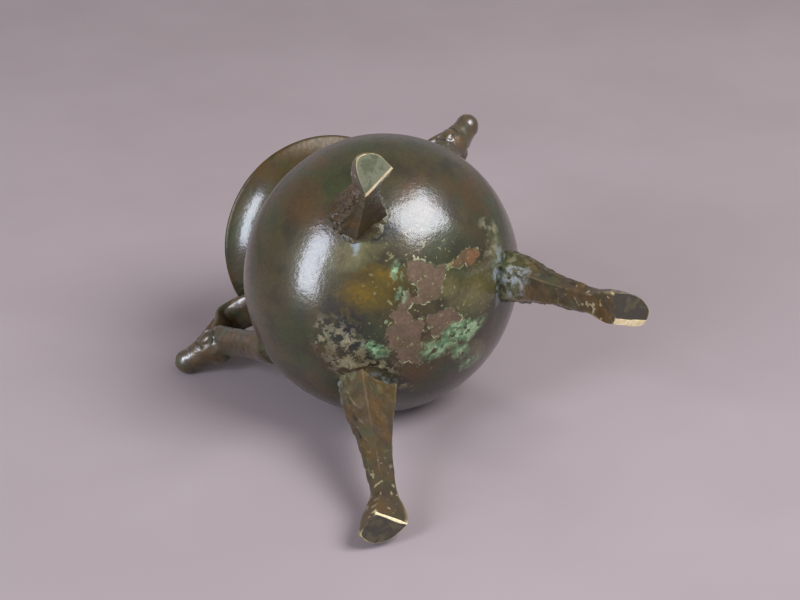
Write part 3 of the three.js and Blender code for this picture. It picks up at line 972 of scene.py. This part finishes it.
# ---- liner ----
def liner_outline():
    """Half of the liner's section, thrown with soft corners, from its foot to its floor inside."""
    foot, top = liner_low.z - CENTRE.z, liner_high.z - CENTRE.z
    flange = (liner_high.x - liner_low.x) / 2
    radius = 17.0
    inside = radius - 2.0
    points = [
        (0, foot),
        (radius - 4, foot),
        (radius - 1, foot + 0.8),
        (radius, foot + 3.6),
        (radius, top - 16),
        (radius, top - 5),
        (radius + 1.2, top - 3.6),
        (flange - 0.2, top - 2.2),
        (flange, top - 1.2),
        (flange - 0.9, top),
        (inside + 1.4, top - 0.2),
        (inside, top - 1.8),
        (inside, top - 20),
        (inside, foot + 5.6),
        (inside - 1.4, foot + 2.7),
        (inside - 5, foot + 2),
        (0, foot + 2),
    ]
    line = [Vector(point) for point in points]
    steps = 130
    return [through(line, step / steps) for step in range(steps)] + [line[-1]]


def make_liner(finish):
    bm = turned([(max(radius, 0), height) for radius, height in liner_outline()], 128)
    uneven(bm, 0.06, 9)
    finished(bm, "liner_pot", finish, "liner", ["ink_liner"])


# ---- everything in its finish ----
bowl_finish = patinated_bowl()
leg_finish = patinated_limb("patinated_leg_bronze", "#80704f", 7, 0.4)
lug_finish = patinated_limb("patinated_lug_bronze", "#6e6046", 4, 1.0)
brass = filed_brass()
solder = soft_solder()
pin_finish = hammered_pin()
glaze = cream_glaze()

make_bowl(bowl_finish)
for number, side in enumerate(("right", "front", "left")):
    make_leg(side, leg_finish, brass)
    make_leg_solder(side, solder, seed=3.0 + number)
    pin = frame["nodes"][f"leg_pin_{side}"]
    pin.data.materials.clear()
    pin.data.materials.append(pin_finish)
for number, (side, turn_to) in enumerate((("right", 0), ("left", 180))):
    make_lug(side, turn_to, lug_finish)
    make_lug_solder(side, turn_to, solder, seed=7.0 + number)
    pin = frame["nodes"][f"handle_pin_{side}"]
    pin.data.materials.clear()
    pin.data.materials.append(pin_finish)
make_liner(glaze)

# ---- table, lights and camera ----
# The inkwell lies on one lug, one hoof and the edge of its mouth. This is the way up from the table.
TABLE_UP = Vector((-0.5071, 0.844, -0.1749)).normalized()
TABLE_REACH = 2.5  # metres
CAMERA_PLACE = CENTRE + Vector((70.0, 187.2, -401.0))
CAMERA_TARGET = CENTRE + Vector((0.9, -7.1, -3.3))


def table_finish():
    """Seamless paper: matt, grey with a little mauve. It shows from its upper side only."""
    made, tree, shader = new_finish("matt_paper", Roughness=0.9, Specular_IOR_Level=0.1)
    place = add(tree, "ShaderNodeTexCoord")["Object"]
    base = lay(tree, "#978b8a", ("#938786", cloud(tree, place, 60, 0.3, 0.7), 1.0))
    tree.links.new(base, shader.inputs["Base Color"])
    under = add(tree, "ShaderNodeNewGeometry")["Backfacing"]
    clear = add(tree, "ShaderNodeBsdfTransparent")[0]
    both = add(tree, "ShaderNodeMixShader", {0: under, 1: shader.outputs[0], 2: clear})[0]
    tree.links.new(both, tree.nodes["Material Output"].inputs["Surface"])
    return made


def make_table():
    across = TABLE_UP.orthogonal().normalized()
    shapes = [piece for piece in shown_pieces() if piece.type == "MESH"]
    lowest = min(
        (piece.matrix_world @ vert.co).dot(TABLE_UP) for piece in shapes for vert in piece.data.vertices
    )
    turn = Matrix((across, TABLE_UP.cross(across), TABLE_UP)).transposed().to_4x4()
    bm = bmesh.new()
    place = Matrix.Translation(TABLE_UP * lowest) @ turn
    bmesh.ops.create_grid(bm, x_segments=2, y_segments=2, size=TABLE_REACH, matrix=place)
    mesh = bpy.data.meshes.new("table")
    bm.to_mesh(mesh)
    bm.free()
    mesh.materials.append(table_finish())
    table = bpy.data.objects.new("table", mesh)
    bpy.context.scene.collection.objects.link(table)


def looking(place, target, up):
    """The turn and place of something that looks at the target, in metres."""
    back = (place - target).normalized()
    right = up.cross(back).normalized()
    turn = Matrix((right, back.cross(right), back)).transposed().to_4x4()
    return Matrix.Translation(place * MM) @ turn


def make_softbox(name, way, distance, width, height, power, tint):
    """A soft light that faces the bowl from that way. Sizes in metres, power in watts."""
    light = bpy.data.lights.new(name, "AREA")
    light.shape = "RECTANGLE"
    light.size = width
    light.size_y = height
    light.energy = power
    light.color = colour(tint)[:3]
    lamp = bpy.data.objects.new(name, light)
    bpy.context.scene.collection.objects.link(lamp)
    lamp.matrix_world = looking(CENTRE + Vector(way).normalized() * distance / MM, CENTRE, TABLE_UP)


def make_camera():
    camera = bpy.data.objects.new("camera", bpy.data.cameras.new("camera"))
    camera.data.lens = 81
    camera.data.sensor_width = 36
    camera.data.clip_start = 0.01
    camera.matrix_world = looking(CAMERA_PLACE, CAMERA_TARGET, TABLE_UP)
    bpy.context.scene.collection.objects.link(camera)
    bpy.context.scene.camera = camera


make_table()
low_window = {"distance": 1.0, "width": 0.34, "height": 0.8, "power": 13.0, "tint": "#e4ecff"}
high_softbox = {"distance": 1.0, "width": 0.6, "height": 0.5, "power": 14.0, "tint": "#f2f5ff"}
make_softbox("low_window", (0.597, 0.707, -0.38), **low_window)
make_softbox("high_softbox", (-0.68, 0.343, -0.648), **high_softbox)
world = bpy.data.worlds.new("pale_room")
world.use_nodes = True
world.node_tree.nodes["Background"].inputs["Color"].default_value = colour("#d8d2d4")
world.node_tree.nodes["Background"].inputs["Strength"].default_value = 0.5
bpy.context.scene.world = world
bpy.context.scene.view_settings.view_transform = "Standard"
make_camera()
